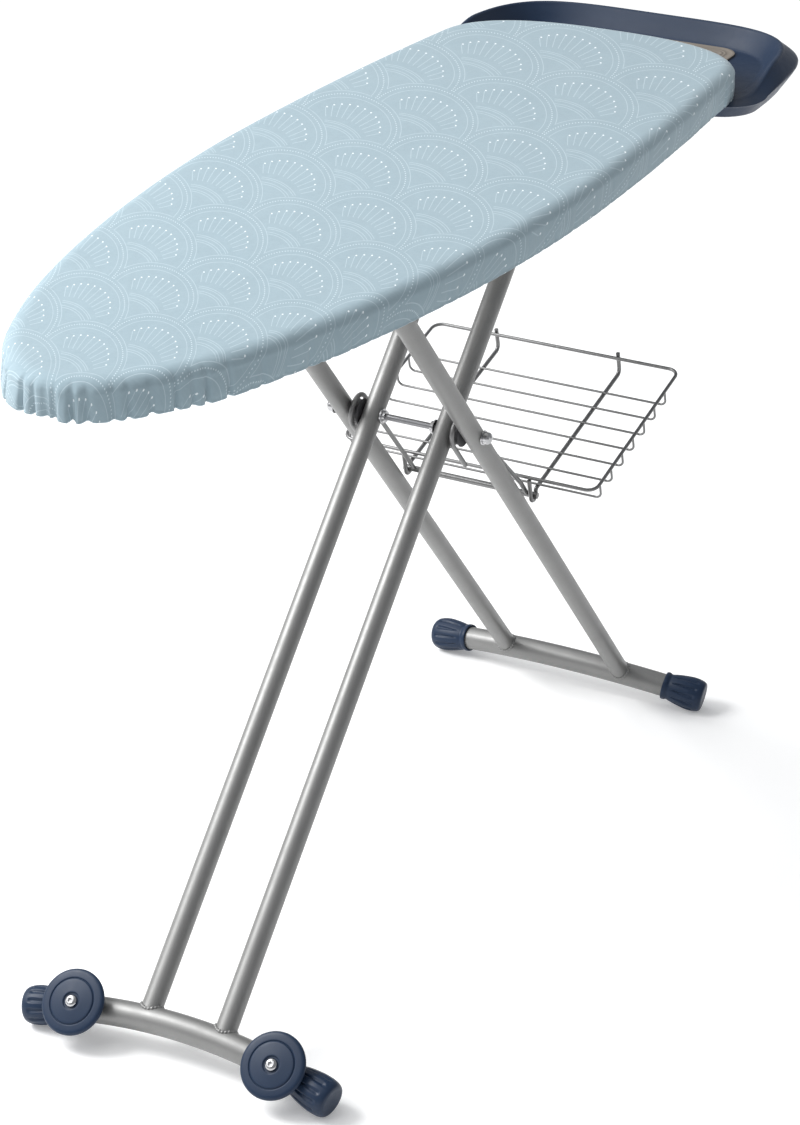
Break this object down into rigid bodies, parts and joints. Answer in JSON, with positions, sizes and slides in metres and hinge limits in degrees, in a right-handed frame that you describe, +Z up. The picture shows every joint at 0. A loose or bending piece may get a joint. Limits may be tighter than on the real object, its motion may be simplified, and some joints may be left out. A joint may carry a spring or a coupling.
{
  "type": "ironing board",
  "caption": "Folding ironing board with a fabric cover, scissor legs on arched foot bars with wheels, a plastic iron rest and a wire linen rack.",
  "frame": {"origin": "on the floor, midway between the nose of the board and the far end of the iron rest, in the plane between the legs", "axes": "+X from the nose to the iron rest, +Y to the left of someone who stands at the nose and faces +X, +Z up"},
  "size_m": [1.503, 0.476, 0.927],
  "materials": {
    "cover_cloth": "woven cotton, printed",
    "felt": "felt",
    "board_steel": "powder coat",
    "leg_paint": "satin powder coat",
    "rack_wire": "satin powder coat",
    "navy_plastic": "satin moulded",
    "black_plastic": "satin moulded",
    "mat_rubber": "matt silicone",
    "chrome": "polished",
    "zinc": "zinc plated"
  },
  "bodies": {
    "board": {"cover": "cover_cloth", "underlay_pad": "felt", "mesh_top": "board_steel", "perimeter_rail": "board_steel", "cross_rib_1": "board_steel", "cross_rib_2": "board_steel", "cross_rib_3": "board_steel", "cross_rib_4": "board_steel", "cross_rib_5": "board_steel", "cross_rib_6": "board_steel", "cross_rib_7": "board_steel", "hinge_bracket_left": "board_steel", "hinge_bracket_right": "board_steel", "hinge_axle": "zinc", "hinge_axle_caps": "black_plastic", "guide_rail_left": "board_steel", "guide_rail_right": "board_steel", "iron_rest_tray": "navy_plastic", "iron_rest_mat": "mat_rubber", "tray_support_left": "leg_paint", "tray_support_right": "leg_paint", "tray_saddles": "black_plastic", "tray_screws": "zinc", "lever_bracket": "board_steel", "lever_pin": "zinc"},
    "inner_legs": {"inner_leg_left": "leg_paint", "inner_leg_right": "leg_paint", "inner_leg_plugs": "black_plastic", "front_foot_bar": "leg_paint", "front_cap_left": "navy_plastic", "front_cap_right": "navy_plastic", "wheel_spacers": "black_plastic", "wheel_screw_left": "chrome", "wheel_screw_right": "chrome"},
    "wheel_left": {"wheel_left": "navy_plastic"},
    "wheel_right": {"wheel_right": "navy_plastic"},
    "outer_legs": {"outer_leg_left": "leg_paint", "outer_leg_right": "leg_paint", "outer_leg_plugs": "black_plastic", "rear_foot_bar": "leg_paint", "rear_cap_left": "navy_plastic", "rear_cap_right": "navy_plastic", "pivot_rod": "zinc", "pivot_spacers": "black_plastic", "pivot_nuts": "chrome", "pivot_sleeves": "chrome", "slide_tube": "leg_paint", "slide_bush_left": "black_plastic", "slide_bush_right": "black_plastic", "rack_bar": "rack_wire", "rack_hook_left": "rack_wire", "rack_hook_right": "rack_wire"},
    "rack": {"rack_rim": "rack_wire", "rack_floor_wires": "rack_wire", "rack_runners": "rack_wire"},
    "lever": {"release_lever": "zinc", "lever_grip": "black_plastic"},
    "lock": {"lock_strip": "zinc", "pull_rod": "zinc"}
  },
  "joints": [
    {"name": "leg_fold", "type": "hinge", "parent": "board", "child": "inner_legs", "pos_m": [0.29622, 0, 0.875], "axis": [0, 1, 0], "range_deg": [0, 34.73]},
    {"name": "scissor_pivot", "type": "hinge", "parent": "inner_legs", "child": "outer_legs", "pos_m": [0.0085, 0, 0.58798], "axis": [0, 1, 0], "range_deg": [-72.72, 0]},
    {"name": "rack_pivot", "type": "hinge", "parent": "outer_legs", "child": "rack", "pos_m": [0.17919, 0, 0.43965], "axis": [0, 1, 0], "range_deg": [0, 52.39]},
    {"name": "wheel_left_spin", "type": "hinge", "parent": "inner_legs", "child": "wheel_left", "pos_m": [-0.56619, 0.133, 0.04945], "axis": [-0.7062, 0, 0.708], "continuous": true},
    {"name": "wheel_right_spin", "type": "hinge", "parent": "inner_legs", "child": "wheel_right", "pos_m": [-0.56619, -0.133, 0.04945], "axis": [-0.7062, 0, 0.708], "continuous": true},
    {"name": "release_lever_pull", "type": "hinge", "parent": "board", "child": "lever", "pos_m": [0.0945, -0.115, 0.8941], "axis": [0, 0, -1], "range_deg": [0, 8], "stiffness_Nm_per_rad": 2, "springref_deg": -5.73},
    {"name": "lock_slide", "type": "slide", "parent": "board", "child": "lock", "axis": [1, 0, 0], "range_m": [0, 0.01617]}
  ],
  "couplings": [
    {"joint": "scissor_pivot", "follows": "leg_fold", "ratio": -2.0937},
    {"joint": "rack_pivot", "follows": "leg_fold", "ratio": 1.5083},
    {"joint": "lock_slide", "follows": "release_lever_pull", "m_per_rad": 0.11575}
  ]
}
